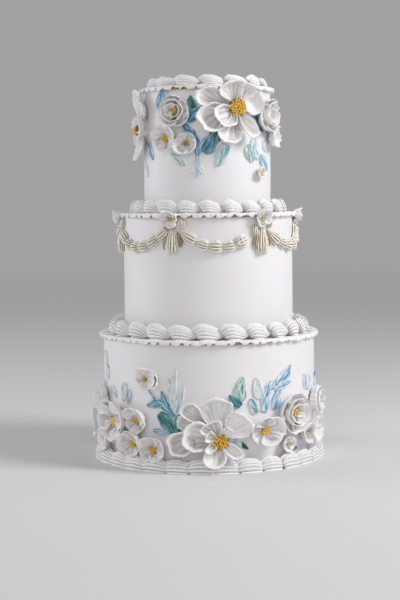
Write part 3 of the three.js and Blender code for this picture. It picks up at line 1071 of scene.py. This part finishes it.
def leaf_paint(place):
    """The piece's own map runs along the leaf and across it; tone is 0 for a deep blue
    leaf and 1 for a pale one, and green is 1 for a green one."""
    tone = attribute(place, "tone")
    green = attribute(place, "green")
    flat = Wire(place.tree).node("ShaderNodeTexCoord", {}, out="UV")
    streak = noise_at(flat, 1.0, 3.0, 0.6, (2.2, 9, 1))
    strand = noise_at(flat, 1.0, 2.0, 0.5, (3.5, 26, 1))
    shade = (streak * 1.3 + strand * 0.9 - 1.1) * 1.35 + tone + 0.2
    blue = place.node("ShaderNodeValToRGB", {"Fac": shade}, stops=LEAF_BLUES)
    teal = place.node("ShaderNodeValToRGB", {"Fac": shade}, stops=LEAF_GREENS)
    part = (green * 1.2 + streak * 0.8 - 0.55).ramp(0.1, 0.7)
    height = strand * (0.35 * MM) + streak * (0.2 * MM)
    return part.mix(blue, teal), strand * 0.2 + 0.38, height


leaf_blue = finish("leaf_blue", leaf_paint)


def leaf(bm, layers, tier, first, last, width, tone, green, bend, seed):
    """Adds a leaf from one (azimuth in degrees, height in mm) to another. bend bows it
    sideways, in millimetres."""
    uv, tone_layer, green_layer = layers
    u1, v1 = math.radians(first[0]) * tier["radius"] / MM, first[1]
    u2, v2 = math.radians(last[0]) * tier["radius"] / MM, last[1]
    length = math.hypot(u2 - u1, v2 - v1)
    du, dv = (u2 - u1) / length, (v2 - v1) / length
    lift = 0.7 + 0.05 * width
    back, front = slab(bm, 22, 12)
    spread = {}
    for is_front, verts in ((False, back), (True, front)):
        for vert in verts:
            share, across = (vert.co.x + 1) / 2, vert.co.y
            spread[vert] = (share, across)
            arch = math.sin(math.pi * share)
            edge = noise.noise(Vector((share * 5, across * 1.5, seed * 3.1)))
            grain = noise.noise(Vector((share * 2.5, across * 5, seed * 1.9)))
            taper = math.sin(math.pi * min(1, 0.06 + 0.94 * share) ** 0.8)
            half = width * 0.66 * (taper**0.62 + 0.03)
            side_way = across * half * (1 + 0.22 * edge) + bend * arch
            w = -0.4
            if is_front:
                rise = lift * (0.35 + 0.75 * abs(across) ** 1.6 + 0.55 * grain + 0.5 * arch)
                w = max(0.15, 0.5 + rise * (1 - 0.55 * abs(across) ** 8))
            u = u1 + du * length * share - dv * side_way
            v = v1 + dv * length * share + du * side_way
            vert[tone_layer] = tone + 0.3 * abs(across) ** 3
            vert[green_layer] = green
            vert.co = on_side(tier, 0, u * MM, v * MM, w * MM)
    for face in faces_of(back + front):
        for loop in face.loops:
            share, across = spread[loop.vert]
            place_u = share * length / UV_SPAN + seed * 1.37
            loop[uv].uv = (place_u, across * width / UV_SPAN + seed * 0.71)


# (from, to, width in mm, tone, green, bend); each end is (azimuth in degrees, height in mm)
TOP_LEAVES = [
    ((-45, 411), (-40, 434), 11, 0.34, 0.1, 1),
    ((-41, 412), (-36, 432), 6, 0.55, 0.1, 0),
    ((-11, 409), (-14, 425), 8, 0.15, 0.9, 1),
    ((-17, 396), (-6, 411), 10, 0.25, 0.3, 0),
    ((-20, 392), (-5, 366), 9, 0.3, 0.1, 0),
    ((-3, 360), (9, 383), 13, 0.24, 0.35, 0),
    ((10, 372), (4, 388), 10, 0.05, 0.9, 0),
    ((17, 369), (9, 344), 11, 0.5, 0.5, 0),
    ((-9, 357), (-9, 331), 4, 0.55, 0.1, 0),
    ((-9, 357), (-6, 368), 6, 0.45, 0.4, 0),
    ((-10, 345), (-14, 337), 4, 0.95, 0.2, 0),
    ((-7, 345), (-3, 336), 4, 0.95, 0.2, 0),
    ((-33, 360), (-19, 345), 11, 0.66, 0.8, 1),
    ((-66, 378), (-56, 353), 5, 0.30, 0.1, 2),
    ((-72, 350), (-66, 334), 6, 0.75, 0.7, 0),
    ((44, 405), (59, 384), 8, 0.12, 0.4, -2),
    ((48, 378), (42, 361), 10, 0.6, 0.2, 0),
    ((38, 369), (43, 349), 11, 0.5, 0.7, 0),
    ((46, 366), (50, 352), 7, 0.7, 0.4, 0),
    ((54, 357), (66, 340), 9, 0.5, 0.1, 0),
    ((59, 374), (65, 361), 7, 0.6, 0.1, 0),
    ((48, 424), (52, 414), 6, 0.25, 0.8, 0),
    ((104, 412), (110, 432), 8, 0.3, 0.2, 0),
    ((112, 376), (104, 356), 9, 0.35, 0.6, 1),
    ((236, 394), (244, 414), 9, 0.3, 0.5, 0),
    ((252, 366), (258, 346), 7, 0.6, 0.3, 0),
]
BOTTOM_LEAVES = [
    ((-18, 64), (-33, 93), 4, 0.30, 0.3, 2),
    ((-24, 79), (-34, 74), 8, 0.30, 0.3, 0),
    ((-20, 70), (-25, 92), 8, 0.35, 0.4, 1),
    ((-19, 72), (-17, 118), 6, 0.80, 0.5, 1),
    ((-18, 70), (-21, 106), 5, 0.70, 0.3, 0),
    ((-17, 66), (-13, 98), 6, 0.65, 0.2, 0),
    ((-26, 67), (-16, 41), 12, 0.16, 0.6, 0),
    ((-15, 70), (-16, 40), 9, 0.18, 0.6, 0),
    ((-30, 46), (-20, 44), 6, 0.5, 0.2, 0),
    ((16, 75), (10, 88), 9, 0.2, 0.5, 1),
    ((16, 81), (17, 108), 11, 0.5, 0.85, 1),
    ((27, 82), (24, 106), 10, 0.72, 0.8, 0),
    ((25, 66), (21, 83), 9, 0.5, 0.5, 0),
    ((29, 66), (33, 102), 9, 0.48, 0.15, 2),
    ((35, 68), (39, 91), 9, 0.48, 0.15, 0),
    ((37, 96), (47, 117), 10, 0.45, 0.15, -2),
    ((36, 90), (47, 98), 7, 0.48, 0.2, 1),
    ((32, 90), (36, 102), 6, 0.55, 0.2, 0),
    ((62, 86), (60, 104), 7, 0.55, 0.1, 0),
    ((64, 84), (67, 101), 7, 0.65, 0.2, 0),
    ((12, 34), (16, 24), 9, 0.50, 0.05, 0),
    ((15, 33), (20, 26), 4, 0.05, 0.9, 0),
    ((46, 24), (52, 18), 5, 0.2, 0.3, 0),
    ((47, 30), (44, 20), 4, 0.1, 0.3, 0),
    ((-50, 97), (-51, 75), 8, 0.62, 0.7, 0),
    ((-46, 90), (-47, 73), 5, 0.5, 0.4, 0),
    ((-72, 130), (-71, 112), 5, 0.7, 0.7, 0),
    ((-70, 113), (-68, 97), 6, 0.62, 0.8, 0),
    ((-76, 94), (-71, 80), 7, 0.45, 0.1, 0),
    ((-64, 90), (-58, 78), 7, 0.55, 0.05, 0),
    ((-46, 26), (-39, 20), 5, 0.2, 0.4, 0),
    ((86, 70), (84, 100), 9, 0.5, 0.3, 0),
    ((232, 72), (228, 104), 7, 0.7, 0.3, 1),
    ((254, 70), (256, 102), 9, 0.5, 0.2, 0),
    ((262, 60), (266, 90), 8, 0.35, 0.5, 0),
]


def mirrored(leaves, low, high, about):
    """The leaves that start between two azimuths again, on the back of the cake. An
    azimuth and its mirror image add up to about."""
    copies = []
    for (azimuth, height), (end_azimuth, end_height), width, tone, green, bend in leaves:
        if low < azimuth < high:
            first, last = (about - azimuth, height), (about - end_azimuth, end_height)
            copies.append((first, last, width, tone, green, -bend))
    return copies


TOP_LEAVES += mirrored(TOP_LEAVES, -48, 62, about=194)
BOTTOM_LEAVES += mirrored(BOTTOM_LEAVES, -74, 62, about=150)
for prefix, tier, leaves in (("top", TOP, TOP_LEAVES), ("bottom", BOTTOM, BOTTOM_LEAVES)):
    bm = bmesh.new()
    layers = (
        bm.loops.layers.uv.new("stroke"),
        bm.verts.layers.float.new("tone"),
        bm.verts.layers.float.new("green"),
    )
    for index, row in enumerate(leaves):
        leaf(bm, layers, tier, *row, seed=index + 1)
    new_piece(f"{prefix}_leaves", bm, [leaf_blue])
